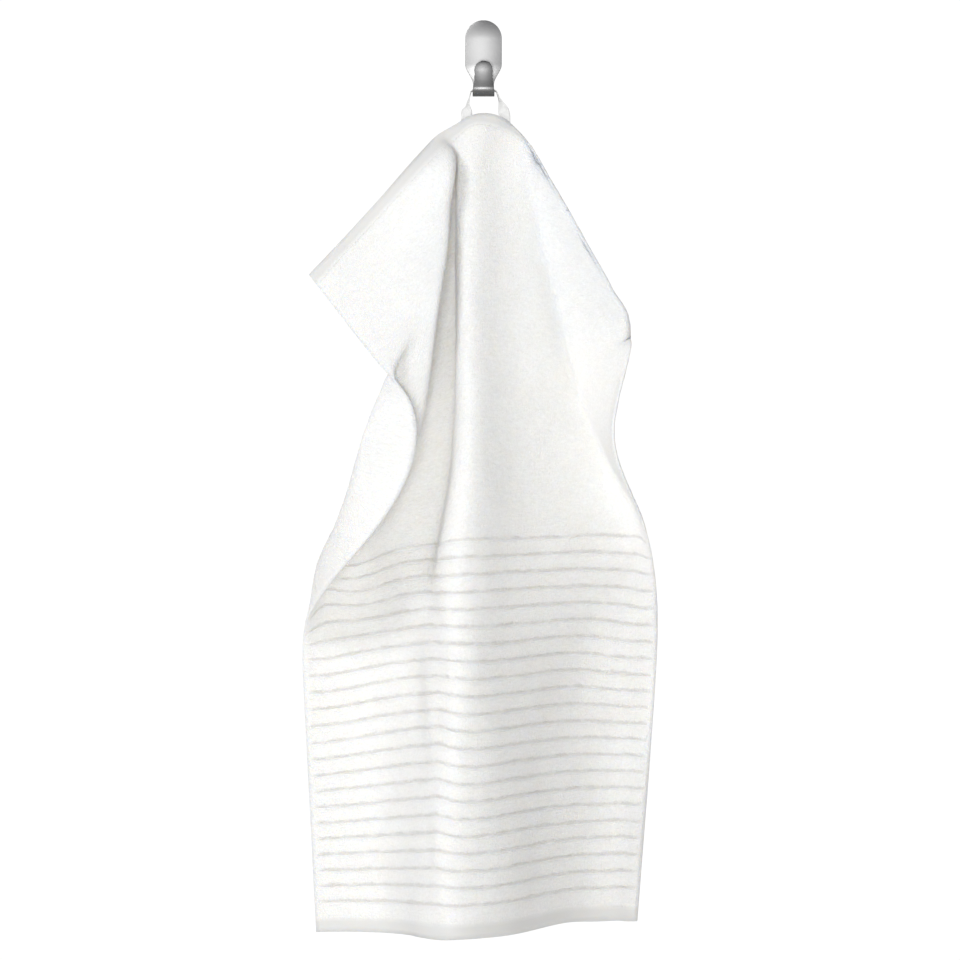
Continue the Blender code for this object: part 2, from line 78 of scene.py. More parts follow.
# Each row is a place along one fold line: down (along the cloth from the top hem), across (on the cloth
# from its middle), then where that place hangs: right, forward and height.
FOLDS: dict[str, Table] = {
    "left_selvedge": (
        (0.0, -20.0, -14.7, 3.8, -19.3),
        (6.0, -20.0, -11.2, 6.2, -23.8),
        (12.0, -20.0, -7.9, 9.9, -27.8),
        (16.0, -20.0, -6.1, 10.9, -29.9),
        (20.0, -20.0, -5.5, 11.3, -33.3),
        (25.0, -20.0, -7.2, 11.7, -38.2),
        (31.0, -20.0, -10.9, 9.6, -43.0),
        (38.0, -20.0, -14.2, 4.8, -47.2),
        (44.0, -20.0, -15.3, 1.8, -50.6),
        (50.0, -20.0, -15.2, 1.2, -56.3),
        (60.0, -20.0, -14.7, 1.2, -65.8),
        (70.0, -20.0, -14.2, 1.5, -74.9),
    ),
    "left_roll": (
        (0.0, -17.0, -12.6, 3.4, -17.0),
        (6.0, -17.0, -9.7, 5.8, -21.5),
        (12.0, -17.8, -6.85, 9.2, -26.1),
        (14.0, -18.4, -7.8, 9.6, -28.2),
        (16.0, -17.5, -8.4, 9.5, -29.3),
        (20.0, -16.5, -9.9, 9.6, -33.2),
        (25.0, -15.5, -10.7, 9.2, -36.0),
        (31.0, -15.8, -12.3, 7.2, -40.5),
        (38.0, -17.5, -14.0, 3.3, -44.8),
        (44.0, -18.0, -13.7, 1.2, -50.3),
        (50.0, -17.5, -13.0, 1.2, -56.1),
        (60.0, -17.0, -11.8, 1.6, -65.6),
        (70.0, -17.0, -11.3, 2.0, -74.8),
    ),
    "left_flap": (
        (0.0, -11.0, -8.4, 2.6, -12.4),
        (6.0, -12.5, -6.5, 5.6, -18.1),
        (12.0, -15.0, -5.3, 8.4, -23.9),
        (16.0, -15.2, -6.3, 8.5, -28.3),
        (20.0, -14.0, -7.5, 8.3, -33.1),
        (25.0, -12.8, -8.8, 7.0, -35.1),
        (31.0, -13.0, -11.0, 5.0, -39.6),
        (38.0, -14.0, -12.0, 1.8, -44.7),
        (44.0, -14.0, -10.7, 1.1, -49.8),
        (57.0, -13.5, -9.0, 2.0, -62.4),
        (70.0, -13.5, -8.2, 2.8, -74.8),
    ),
    "left_crest": (
        (0.0, -5.5, -4.6, 1.8, -8.0),
        (1.6, -4.2, -2.8, 2.6, -8.5),
        (4.0, -5.6, -2.8, 3.8, -11.4),
        (8.0, -8.7, -3.1, 5.7, -16.2),
        (12.0, -12.0, -3.8, 8.0, -21.6),
        (16.0, -12.9, -4.5, 8.3, -27.0),
        (20.0, -12.0, -5.4, 7.6, -32.2),
        (25.0, -10.3, -6.8, 5.2, -33.9),
        (31.0, -10.3, -8.9, 3.6, -38.6),
        (38.0, -10.8, -9.4, 2.4, -44.3),
        (44.0, -10.5, -7.8, 2.6, -49.3),
        (57.0, -10.0, -6.7, 4.8, -61.9),
        (70.0, -10.0, -6.3, 5.6, -74.6),
    ),
    "pleat": (
        (0.0, -3.9, -3.5, 1.5, -7.0),
        (1.6, -3.2, -2.6, 1.5, -8.2),
        (4.0, -3.9, -3.0, 1.5, -10.4),
        (8.0, -5.2, -3.7, 1.9, -14.7),
        (12.0, -6.8, -4.5, 2.3, -19.4),
        (16.0, -7.5, -4.9, 3.2, -24.0),
        (20.0, -7.5, -5.1, 4.3, -28.3),
        (25.0, -7.0, -5.3, 4.3, -31.7),
        (31.0, -7.0, -6.0, 4.2, -37.3),
        (38.0, -7.5, -6.3, 4.8, -43.3),
        (44.0, -7.0, -5.4, 5.6, -48.8),
        (57.0, -6.5, -4.9, 8.4, -61.4),
        (70.0, -6.5, -5.0, 9.0, -74.4),
    ),
    "pleat_floor": (
        (0.0, -3.35, -2.9, 1.35, -6.65),
        (1.6, -2.85, -2.35, 1.5, -7.95),
        (4.0, -3.3, -2.3, 1.5, -10.0),
        (8.0, -4.1, -2.0, 2.0, -14.1),
        (12.0, -4.8, -1.95, 2.4, -18.4),
        (16.0, -5.0, -1.95, 3.2, -22.6),
        (20.0, -4.9, -2.0, 4.1, -26.6),
        (25.0, -4.7, -2.3, 4.4, -31.0),
        (31.0, -4.8, -2.9, 4.7, -36.8),
        (38.0, -5.2, -4.0, 5.6, -43.1),
        (44.0, -5.5, -4.5, 7.2, -48.7),
        (57.0, -5.2, -4.35, 9.6, -61.25),
        (70.0, -5.2, -4.35, 10.1, -74.35),
    ),
    "ridge_flank": (
        (0.0, -2.8, -2.3, 1.2, -6.3),
        (1.6, -2.5, -2.1, 1.5, -7.7),
        (4.0, -2.7, -2.1, 2.0, -9.7),
        (8.0, -3.2, -2.2, 2.9, -13.8),
        (12.0, -3.4, -2.2, 3.7, -17.8),
        (16.0, -3.4, -2.2, 4.9, -21.9),
        (20.0, -3.4, -2.2, 5.7, -25.7),
        (25.0, -3.4, -2.3, 6.4, -30.5),
        (31.0, -3.4, -2.75, 7.1, -36.5),
        (38.0, -3.7, -3.6, 8.2, -43.0),
        (44.0, -4.0, -3.7, 8.9, -48.6),
        (57.0, -4.0, -3.8, 10.5, -61.1),
        (70.0, -4.0, -3.7, 11.0, -74.3),
    ),
    "ridge": (
        (0.0, -1.7, -1.4, 1.1, -5.75),
        (4.0, -1.7, -1.4, 2.5, -9.3),
        (8.0, -1.7, -1.4, 3.8, -13.4),
        (16.0, -1.7, -1.6, 6.3, -21.2),
        (25.0, -1.7, -1.7, 8.3, -30.0),
        (31.0, -1.7, -2.0, 9.3, -35.8),
        (38.0, -1.7, -2.4, 10.1, -42.8),
        (44.0, -1.7, -2.4, 10.6, -48.6),
        (57.0, -1.7, -2.4, 11.4, -61.4),
        (70.0, -1.7, -2.4, 11.8, -74.2),
    ),
    "panel_near": (
        (0.0, 1.7, 1.8, 1.1, -5.85),
        (4.0, 1.7, 1.4, 1.9, -9.4),
        (8.0, 1.8, 1.4, 2.9, -13.4),
        (16.0, 2.0, 1.5, 4.9, -21.1),
        (25.0, 3.0, 2.0, 6.3, -30.0),
        (38.0, 3.0, 1.6, 7.9, -42.6),
        (44.0, 3.0, 1.4, 8.5, -48.6),
        (57.0, 3.0, 1.4, 9.3, -61.4),
        (70.0, 3.0, 1.3, 9.6, -74.2),
    ),
    "panel_far": (
        (0.0, 2.6, 2.5, 1.1, -6.4),
        (4.0, 3.4, 2.8, 1.9, -9.6),
        (8.0, 4.6, 3.5, 2.2, -13.5),
        (16.0, 6.0, 4.8, 3.2, -21.4),
        (25.0, 7.5, 6.0, 3.7, -30.4),
        (38.0, 9.0, 6.6, 4.4, -42.5),
        (44.0, 8.5, 5.2, 5.2, -48.4),
        (57.0, 8.0, 4.6, 5.6, -61.2),
        (70.0, 8.0, 4.3, 6.0, -74.1),
    ),
    "right_valley": (
        (0.0, 3.3, 3.0, 1.3, -6.9),
        (2.0, 4.1, 3.4, 2.0, -8.3),
        (4.0, 4.9, 3.9, 2.3, -9.9),
        (8.0, 6.8, 5.0, 2.4, -13.9),
        (16.0, 9.3, 6.5, 2.5, -22.1),
        (20.0, 10.8, 7.3, 2.4, -25.6),
        (25.0, 12.5, 9.1, 2.2, -31.3),
        (31.0, 14.0, 10.8, 2.2, -35.6),
        (38.0, 15.0, 12.0, 1.9, -42.0),
        (44.0, 13.5, 9.2, 2.4, -48.1),
        (57.0, 13.0, 8.1, 2.5, -61.1),
        (70.0, 13.0, 7.4, 2.8, -73.9),
    ),
    "right_fold": (
        (0.0, 4.4, 3.5, 1.6, -7.6),
        (2.0, 5.5, 4.4, 2.8, -8.9),
        (4.0, 6.8, 5.4, 3.6, -10.8),
        (8.0, 10.3, 7.9, 5.7, -15.5),
        (12.0, 14.0, 10.2, 7.2, -19.8),
        (14.0, 15.8, 11.1, 7.5, -21.6),
        (16.0, 17.3, 12.0, 7.7, -23.5),
        (18.5, 17.0, 11.2, 7.2, -25.3),
        (22.0, 16.7, 10.3, 6.8, -28.4),
        (26.0, 17.0, 10.3, 6.4, -32.6),
        (31.0, 17.5, 11.4, 5.2, -36.1),
        (38.0, 18.0, 13.5, 2.2, -41.7),
        (44.0, 17.0, 12.1, 1.3, -47.9),
        (57.0, 17.0, 11.3, 1.2, -61.0),
        (70.0, 17.0, 10.4, 1.4, -74.0),
    ),
    "right_tuck": (
        (0.0, 6.6, 3.1, 0.8, -10.0),
        (4.0, 9.0, 5.1, 1.5, -12.8),
        (8.0, 12.2, 7.7, 3.4, -16.9),
        (12.0, 15.6, 10.0, 5.4, -20.9),
        (14.0, 17.1, 11.0, 6.2, -22.5),
        (16.0, 18.3, 12.0, 6.8, -24.1),
        (18.5, 18.2, 11.65, 7.45, -25.25),
        (22.0, 18.1, 11.0, 7.9, -28.3),
        (26.0, 18.2, 10.6, 7.7, -32.5),
        (31.0, 18.5, 11.6, 6.4, -36.4),
        (38.0, 18.8, 13.7, 2.5, -41.8),
        (44.0, 18.0, 13.1, 1.1, -47.9),
        (57.0, 18.0, 12.3, 1.0, -61.0),
        (70.0, 18.0, 11.4, 1.1, -74.0),
    ),
    "right_behind": (
        (0.0, 9.6, 2.9, 0.9, -13.0),
        (4.0, 11.8, 4.9, 1.2, -15.7),
        (8.0, 15.6, 7.5, 1.8, -20.6),
        (12.0, 17.6, 9.8, 4.0, -22.8),
        (14.0, 18.4, 10.8, 5.1, -23.7),
        (16.0, 19.2, 11.9, 6.1, -24.4),
        (18.5, 19.2, 12.0, 7.65, -25.25),
        (22.0, 19.1, 11.4, 8.6, -28.2),
        (26.0, 19.2, 10.7, 8.5, -32.4),
        (31.0, 19.3, 11.7, 6.9, -36.4),
        (38.0, 19.4, 13.8, 2.7, -41.8),
        (44.0, 19.0, 14.0, 1.0, -47.8),
        (57.0, 19.0, 13.2, 0.8, -61.1),
        (70.0, 19.0, 12.2, 0.8, -74.1),
    ),
    "right_selvedge": (
        (0.0, 20.0, 1.9, 0.8, -22.3),
        (4.0, 20.0, 5.2, 0.9, -24.6),
        (8.0, 20.0, 7.5, 1.3, -25.5),
        (12.0, 20.0, 9.8, 2.7, -24.9),
        (16.0, 20.0, 11.8, 5.6, -24.7),
        (18.5, 20.0, 12.3, 7.9, -25.2),
        (22.0, 20.0, 11.6, 9.1, -28.1),
        (26.0, 20.0, 10.8, 9.1, -32.3),
        (31.0, 20.0, 11.8, 7.4, -36.5),
        (38.0, 20.0, 14.0, 2.9, -41.8),
        (44.0, 20.0, 14.8, 1.0, -47.8),
        (50.0, 20.0, 14.6, 0.8, -54.2),
        (57.0, 20.0, 14.1, 0.7, -61.1),
        (70.0, 20.0, 13.1, 0.7, -74.1),
    ),
}

# The tape's route: right, forward, height, and how far its width is turned, in degrees.
TAPE_ROUTE: Table = (
    (-1.45, 0.84, -6.60, 90.0),
    (-1.45, 0.84, -5.95, 90.0),
    (-1.44, 0.84, -5.40, 89.0),
    (-1.38, 0.82, -4.85, 32.0),
    (-1.28, 0.78, -4.30, 8.0),
    (-1.17, 0.75, -3.85, 0.0),
    (-1.11, 0.75, -3.60, 0.0),
    (-1.02, 0.75, -3.46, 0.0),
    (-0.88, 0.75, -3.42, 0.0),
    (0.00, 0.75, -3.41, 0.0),
    (0.88, 0.75, -3.42, 0.0),
    (1.03, 0.75, -3.46, 0.0),
    (1.14, 0.75, -3.60, 0.0),
    (1.23, 0.75, -3.85, 2.0),
    (1.40, 0.78, -4.30, 14.0),
    (1.58, 0.82, -4.85, 46.0),
    (1.76, 0.84, -5.40, 89.0),
    (1.80, 0.84, -5.95, 90.0),
    (1.80, 0.84, -6.60, 90.0),
)


def natural_spline(knots: Array, values: Array, at: Array) -> Array:
    """Read a smooth curve that passes through given values.

    Args:
        knots: Where the values stand, in rising order.
        values: One row of numbers for each knot.
        at: The places to read.

    Returns:
        One row of numbers for each place.
    """
    gaps = np.diff(knots)
    slopes = np.diff(values, axis=0) / gaps[:, None]
    matrix = np.eye(len(knots))
    right_side = np.zeros_like(values)
    for i in range(1, len(knots) - 1):
        matrix[i, i - 1:i + 2] = gaps[i - 1], 2 * (gaps[i - 1] + gaps[i]), gaps[i]
        right_side[i] = 6 * (slopes[i] - slopes[i - 1])
    bends = np.linalg.solve(matrix, right_side)
    i = np.clip(np.searchsorted(knots, at) - 1, 0, len(knots) - 2)
    gap = gaps[i][:, None]
    after = (at - knots[i])[:, None]
    before = (knots[i + 1] - at)[:, None]
    curve = (bends[i] * before ** 3 + bends[i + 1] * after ** 3) / (6 * gap)
    curve += (values[i] / gap - bends[i] * gap / 6) * before
    curve += (values[i + 1] / gap - bends[i + 1] * gap / 6) * after
    return curve


def soft_step(value: Array, low: float, high: float) -> Array:
    """Rise smoothly from 0 at low to 1 at high."""
    part = np.clip((value - low) / (high - low), 0.0, 1.0)
    return part * part * (3 - 2 * part)


def to_metres(points: Array) -> Array:
    """Turn (right, forward, height) in centimetres into the frame's x, y, z in metres."""
    return np.stack([points[..., 0], -points[..., 1], points[..., 2]], axis=-1) * CM


@dataclass(frozen=True)
class Unevenness:
    """A smooth random field over the cloth, the same on each run, that goes from -height to height."""

    seed: int
    cell: float
    height: float
    lattice: int = 256

    def read(self, first: Array, second: Array) -> Array:
        """Read the field.

        Args:
            first: One coordinate, in centimetres.
            second: The other coordinate, in centimetres.

        Returns:
            The field's values there.
        """
        table = np.random.RandomState(self.seed).uniform(-1, 1, (self.lattice, self.lattice))
        u, v = first / self.cell, second / self.cell
        i, j = np.floor(u).astype(int), np.floor(v).astype(int)
        s, t = u - i, v - j
        s, t = s * s * (3 - 2 * s), t * t * (3 - 2 * t)
        n = self.lattice
        low = table[i % n, j % n] * (1 - s) + table[(i + 1) % n, j % n] * s
        high = table[i % n, (j + 1) % n] * (1 - s) + table[(i + 1) % n, (j + 1) % n] * s
        return (low * (1 - t) + high * t) * self.height


class Number:
    """A number that changes over a surface. Arithmetic on it adds the Math nodes that work it out."""

    def __init__(self, nodes: "Nodes", socket: bpy.types.NodeSocket) -> None:
        """Wrap a socket of a set of nodes."""
        self.nodes = nodes
        self.socket = socket

    def _math(self, operation: str, first: Any, second: Any = None) -> "Number":
        """Add one Math node.

        Args:
            operation: What the node does.
            first: The first number that it reads.
            second: The second one, where the operation has two.

        Returns:
            Its result.
        """
        values = {0: first} if second is None else {0: first, 1: second}
        node = self.nodes.node("ShaderNodeMath", {"operation": operation}, values)
        return Number(self.nodes, node.outputs[0])

    def __add__(self, other: Any) -> "Number":
        """Add."""
        return self._math("ADD", self, other)

    def __sub__(self, other: Any) -> "Number":
        """Take away a number."""
        return self._math("SUBTRACT", self, other)

    def __rsub__(self, other: Any) -> "Number":
        """Take this away from a number."""
        return self._math("SUBTRACT", other, self)

    def __mul__(self, other: Any) -> "Number":
        """Multiply."""
        return self._math("MULTIPLY", self, other)

    def sine(self) -> "Number":
        """Take the sine."""
        return self._math("SINE", self)

    def size(self) -> "Number":
        """Drop the sign."""
        return self._math("ABSOLUTE", self)

    def from_nearest_whole(self) -> "Number":
        """Measure from the nearest whole number, from -0.5 to 0.5."""
        return self._math("FRACT", self + 0.5) - 0.5

    def held(self) -> "Number":
        """Keep the number from 0 to 1."""
        node = self.nodes.node("ShaderNodeClamp", {}, {0: self})
        return Number(self.nodes, node.outputs[0])

    def ramp(self, low: float, high: float) -> "Number":
        """Rise smoothly from 0 to 1.

        Args:
            low: Where the rise starts.
            high: Where it ends.

        Returns:
            The risen number.
        """
        settings = {"interpolation_type": "SMOOTHSTEP"}
        sockets = {"Value": self, "From Min": low, "From Max": high}
        node = self.nodes.node("ShaderNodeMapRange", settings, sockets)
        return Number(self.nodes, node.outputs[0])


class Nodes:
    """The nodes of a material or of the world."""

    def __init__(self, tree: bpy.types.NodeTree) -> None:
        """Take the tree that the nodes go into."""
        self.tree = tree

    def node(self, kind: str, settings: dict[str, Any], sockets: dict[Any, Any]) -> bpy.types.Node:
        """Add a node.

        Args:
            kind: The node's type.
            settings: Its own settings, set first.
            sockets: What goes into its sockets: numbers, colours, sockets or Numbers.

        Returns:
            The new node.
        """
        node = self.tree.nodes.new(kind)
        for name, value in settings.items():
            setattr(node, name, value)
        for name, value in sockets.items():
            self.feed(node.inputs[name], value)
        return node

    def feed(self, socket: bpy.types.NodeSocket, value: Any) -> None:
        """Link a socket or a Number, or set a plain value.

        Args:
            socket: The socket to feed.
            value: What goes into it.
        """
        if isinstance(value, Number):
            self.tree.links.new(value.socket, socket)
        elif isinstance(value, bpy.types.NodeSocket):
            self.tree.links.new(value, socket)
        else:
            socket.default_value = value

    def layer(self, name: str) -> bpy.types.NodeSocket:
        """Read a vector that the mesh carries at its points."""
        return self.node("ShaderNodeAttribute", {"attribute_name": name}, {}).outputs["Vector"]

    def part(self, vector: bpy.types.NodeSocket, axis: str) -> Number:
        """Take one number out of a vector."""
        return Number(self, self.node("ShaderNodeSeparateXYZ", {}, {0: vector}).outputs[axis])

    def scaled(self, vector: bpy.types.NodeSocket, factors: Triple) -> bpy.types.NodeSocket:
        """Multiply a vector's parts."""
        node = self.node("ShaderNodeVectorMath", {"operation": "MULTIPLY"}, {0: vector, 1: factors})
        return node.outputs[0]

    def noise(self, vector: bpy.types.NodeSocket, scale: float, detail: float) -> Number:
        """Read a noise texture, from 0 to 1."""
        sockets = {"Vector": vector, "Scale": scale, "Detail": detail}
        return Number(self, self.node("ShaderNodeTexNoise", {}, sockets).outputs[0])

    def cells(self, vector: bpy.types.NodeSocket, scale: float, loose: float) -> Number:
        """Read how far each place is from the middle of its cell, from 0 to about 1."""
        sockets = {"Vector": vector, "Scale": scale, "Randomness": loose}
        return Number(self, self.node("ShaderNodeTexVoronoi", {}, sockets).outputs["Distance"])

    def blend(self, factor: Any, first: Any, second: Any) -> bpy.types.NodeSocket:
        """Mix two colours.

        Args:
            factor: How much of the second colour there is, from 0 to 1.
            first: A colour or a socket.
            second: Another one.

        Returns:
            The mixed colour's socket.
        """
        sockets = {"Factor": factor, "A": _with_alpha(first), "B": _with_alpha(second)}
        node = self.tree.nodes.new("ShaderNodeMix")
        node.data_type = "RGBA"
        for socket in node.inputs:
            if socket.name in sockets and socket.enabled:
                self.feed(socket, sockets[socket.name])
        return next(socket for socket in node.outputs if socket.enabled)


class Paint(Nodes):
    """A material with one Principled shader, and the nodes that feed it."""

    def __init__(self, name: str) -> None:
        """Start the material."""
        self.material = bpy.data.materials.new(name)
        self.material.use_nodes = True
        super().__init__(self.material.node_tree)
        self.shader = self.tree.nodes["Principled BSDF"]

    def hold(self, constants: dict[str, Any]) -> None:
        """Set constants on the shader's own sockets."""
        for name, value in constants.items():
            self.shader.inputs[name].default_value = value

    def relief(self, height: Number, depth: float, strength: float) -> None:
        """Bend the shader's normal by a height.

        Args:
            height: The height, from 0 to about 1.
            depth: How deep the height's whole range is, in metres.
            strength: How much of it shows.
        """
        sockets = {"Height": height, "Distance": depth, "Strength": strength}
        bump = self.node("ShaderNodeBump", {}, sockets)
        self.feed(self.shader.inputs["Normal"], bump.outputs[0])


def _with_alpha(colour: Any) -> Any:
    """Give a plain colour its alpha, and leave a socket as it is."""
    return (*colour, 1.0) if isinstance(colour, tuple) else colour


@dataclass(frozen=True)
class TerryFinish:
    """White cotton loops, with a painted shadow line and a painted highlight on the lip at each woven rib,
    and flat woven hems.

    Scales are in turns a centimetre, and the lines' and lips' places and widths in shares of a rib.
    """

    pile: Colour = (0.92, 0.912, 0.893)
    pile_shade: Colour = (0.80, 0.79, 0.765)
    # Colour of the painted shadow line along the lower pile edge of each rib.
    painted_rib_shadow: Colour = (0.58, 0.575, 0.56)
    # Colour of the painted highlight on the lip just below each rib's shadow line.
    lip_highlight: Colour = (0.96, 0.955, 0.94)
    hem: Colour = (0.75, 0.75, 0.74)
    loops_scale: float = 7.5
    loops_looseness: float = 0.85
    tufts_scale: float = 3.2
    crumbs_scale: float = 7.0
    drift_scale: float = 0.35
    streaks_scale: Triple = (1.1, 4.5, 0.0)
    fading_scale: Triple = (0.8, 0.7, 0.0)
    warp_scale: float = 62.0
    weft_scale: float = 48.0
    fading: Span = (0.30, 0.62)
    breaking: Span = (0.36, 0.56)
    # Where the painted shadow line under each rib's pile edge is full, and where it has faded out.
    line: Span = (0.012, 0.13)
    painted_shadow_strength: float = 0.44
    line_depth: float = 1.1
    lip_place: float = 0.15
    lip_width: Span = (0.005, 0.065)
    painted_highlight_strength: float = 0.6
    lip_rise: float = 0.5
    roughness: float = 0.95
    specular: float = 0.15
    sheen: float = 0.3
    sheen_roughness: float = 0.6
    glow: float = 0.8
    glow_reach: Triple = (0.0050, 0.0042, 0.0032)
    relief_depth: float = 0.0011
    relief_strength: float = 0.9

    def paint(self) -> bpy.types.Material:
        """Make the terry.

        The mesh carries cloth = (across, down, pile) and rib = (place among the ribs, ribbed, hem).

        Returns:
            The material.
        """
        paint = Paint("white_terry")
        cloth, rib = paint.layer("cloth"), paint.layer("rib")
        place = paint.scaled(cloth, (1.0, 1.0, 0.0))
        pile = paint.part(cloth, "Z").held()
        ribbed, hem = paint.part(rib, "Y").held(), paint.part(rib, "Z").held()
        loops = 1.0 - paint.cells(place, self.loops_scale, self.loops_looseness)
        tufts = paint.noise(place, self.tufts_scale, 3.0)
        crumbs = paint.noise(place, self.crumbs_scale, 2.0)
        drift = paint.noise(place, self.drift_scale, 2.0)
        streaks = paint.noise(paint.scaled(cloth, self.streaks_scale), 1.0, 3.0)
        warp = (paint.part(cloth, "X") * self.warp_scale).sine()
        weft = (paint.part(cloth, "Y") * self.weft_scale).sine()
        wander = (streaks - 0.5) * 0.16 + (tufts - 0.5) * 0.10 + (crumbs - 0.5) * 0.10
        from_line = (paint.part(rib, "X") + wander).from_nearest_whole()
        faded = paint.noise(paint.scaled(cloth, self.fading_scale), 1.0, 2.0).ramp(*self.fading) * 0.5 + 0.5
        broken = crumbs.ramp(*self.breaking) * 0.6 + 0.4
        # Painted shadow: a dark line under each rib's pile edge, broken and faded here and there; it also
        # cuts a groove in the relief.
        line = (1.0 - from_line.size().ramp(*self.line)) * faded * broken * ribbed
        # Painted highlight: a light line on the lip just below each shadow line; the lip is also raised a
        # little in the relief.
        lip_highlight = (1.0 - (from_line - self.lip_place).size().ramp(*self.lip_width)) * ribbed
        shade = (1.0 - loops) * 0.55 + (tufts - 0.5) * 0.9 + (streaks - 0.5) * 0.7 + (drift - 0.5) * 0.5
        looped = paint.blend(shade.held(), self.pile, self.pile_shade)
        hemmed = paint.blend(hem, looped, self.hem)
        # Lay the painted highlight over the pile and the hem.
        lip_highlighted = paint.blend(lip_highlight * self.painted_highlight_strength, hemmed, self.lip_highlight)
        # Lay the painted shadow line over the pile, the hem and the lip highlight.
        rib_shadowed = paint.blend(line * self.painted_shadow_strength, lip_highlighted, self.painted_rib_shadow)
        paint.feed(paint.shader.inputs["Base Color"], rib_shadowed)
        paint.hold({
            "Roughness": self.roughness,
            "Specular IOR Level": self.specular,
            "Sheen Weight": self.sheen,
            "Sheen Roughness": self.sheen_roughness,
            "Subsurface Weight": self.glow,
            "Subsurface Radius": self.glow_reach,
            "Subsurface Scale": 1.0,
        })
        looped_height = pile * (loops * 0.7 + tufts * 0.6 + streaks * 0.35)
        woven_height = (1.0 - pile) * (warp * weft * 0.12 + 0.4)
        height = looped_height + woven_height + lip_highlight * self.lip_rise - line * self.line_depth
        paint.relief(height, self.relief_depth, self.relief_strength)
        return paint.material


@dataclass(frozen=True)
class TapeFinish:
    """Smooth woven cotton tape with a fine twill."""

    light: Colour = (0.86, 0.86, 0.85)
    dark: Colour = (0.74, 0.74, 0.73)
    ribs_per_cm: float = 13.0
    slant: float = 0.8
    fuzz_scale: float = 14.0
    roughness: float = 0.85
    specular: float = 0.2
    sheen: float = 0.1
    relief_depth: float = 0.0003
    relief_strength: float = 0.7

    def paint(self) -> bpy.types.Material:
        """Make the tape's material. The mesh carries tape = (across, along, 0).

        Returns:
            The material.
        """
        paint = Paint("white_tape")
        tape = paint.layer("tape")
        across, along = paint.part(tape, "X"), paint.part(tape, "Y")
        twill = ((along + across * self.slant) * (self.ribs_per_cm * math.tau)).sine() * 0.5 + 0.5
        fuzz = paint.noise(tape, self.fuzz_scale, 3.0)
        worn = ((1.0 - twill) * 0.5 + (fuzz - 0.5) * 0.6).held()
        paint.feed(paint.shader.inputs["Base Color"], paint.blend(worn, self.light, self.dark))
        paint.hold({
            "Roughness": self.roughness,
            "Specular IOR Level": self.specular,
            "Sheen Weight": self.sheen,
        })
        paint.relief(twill * 0.7 + fuzz * 0.5, self.relief_depth, self.relief_strength)
        return paint.material


@dataclass(frozen=True)
class ThreadFinish:
    """White sewing thread."""

    light: Colour = (0.86, 0.855, 0.84)
    dark: Colour = (0.70, 0.69, 0.66)
    twist_scale: float = 2500.0
    roughness: float = 0.7
    relief_depth: float = 0.0001
    relief_strength: float = 0.5

    def paint(self) -> bpy.types.Material:
        """Make the thread's material, with its twist as a fine relief.

        Returns:
            The material.
        """
        paint = Paint("sewing_thread")
        position = paint.node("ShaderNodeTexCoord", {}, {}).outputs["Object"]
        twist = paint.noise(position, self.twist_scale, 1.0)
        shade = (twist * 0.8).held()
        paint.feed(paint.shader.inputs["Base Color"], paint.blend(shade, self.light, self.dark))
        paint.hold({"Roughness": self.roughness})
        paint.relief(twist, self.relief_depth, self.relief_strength)
        return paint.material


@dataclass(frozen=True)
class SteelFinish:
    """Satin steel with fine lines along the strip, darker towards the tongue from painted shade and dark
    reflection.
    """

    clean: Colour = (0.52, 0.52, 0.52)
    worn: Colour = (0.40, 0.40, 0.395)
    # Colour of the painted shade and dark reflection on the lower plate, the bend and the tongue.
    painted_dark_reflection: Colour = (0.15, 0.15, 0.15)
    lines_scale: Triple = (90.0, 1.6, 1.0)
    clouds_scale: float = 0.9
    painted_darkening: Span = (2.0, 8.5)
    least_roughness: float = 0.24
    relief_depth: float = 0.00004
    relief_strength: float = 0.35

    def paint(self) -> bpy.types.Material:
        """Make the steel. The mesh carries strip = (across, along, 0).

        Returns:
            The material.
        """
        paint = Paint("brushed_steel")
        strip = paint.layer("strip")
        lines = paint.noise(paint.scaled(strip, self.lines_scale), 1.0, 3.0)
        clouds = paint.noise(strip, self.clouds_scale, 3.0)
        metal = paint.blend((lines * 0.5 + clouds * 0.6 - 0.1).held(), self.clean, self.worn)
        # Painted shade and dark reflection: the strip darkens from the upper plate down to the tongue.
        painted_darkening = paint.part(strip, "Y").ramp(*self.painted_darkening)
        paint.feed(paint.shader.inputs["Base Color"], paint.blend(painted_darkening, metal, self.painted_dark_reflection))
        paint.feed(paint.shader.inputs["Roughness"], lines * 0.12 + clouds * 0.08 + self.least_roughness)
        paint.hold({"Metallic": 1.0})
        paint.relief(lines, self.relief_depth, self.relief_strength)
        return paint.material


@dataclass(frozen=True)
class FloorFinish:
    """A plain pale floor."""

    colour: Colour = (0.80, 0.80, 0.79)
    darkest: float = 0.96
    cloud_scale: float = 2.0
    roughness: float = 0.9

    def paint(self) -> bpy.types.Material:
        """Make the floor's material, with a faint unevenness.

        Returns:
            The material.
        """
        paint = Paint("pale_floor")
        position = paint.node("ShaderNodeTexCoord", {}, {}).outputs["Object"]
        cloud = paint.noise(position, self.cloud_scale, 3.0)
        darker = tuple(part * self.darkest for part in self.colour)
        paint.feed(paint.shader.inputs["Base Color"], paint.blend(cloud.held(), self.colour, darker))
        paint.hold({"Roughness": self.roughness})
        return paint.material


def add_piece(
    name: str, points: Array, faces: Faces, material: bpy.types.Material
) -> bpy.types.Object:
    """Add a shown piece.

    Args:
        name: The piece's name.
        points: Its points, in metres.
        faces: Its faces, each a list of point numbers.
        material: Its finish.

    Returns:
        The new object, riding on the part's body.
    """
    mesh = bpy.data.meshes.new(name)
    mesh.from_pydata(points.tolist(), [], faces)
    mesh.shade_smooth()
    mesh.materials.append(material)
    piece = bpy.data.objects.new(name, mesh)
    bpy.context.scene.collection.objects.link(piece)
    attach(piece, BODY)
    return piece


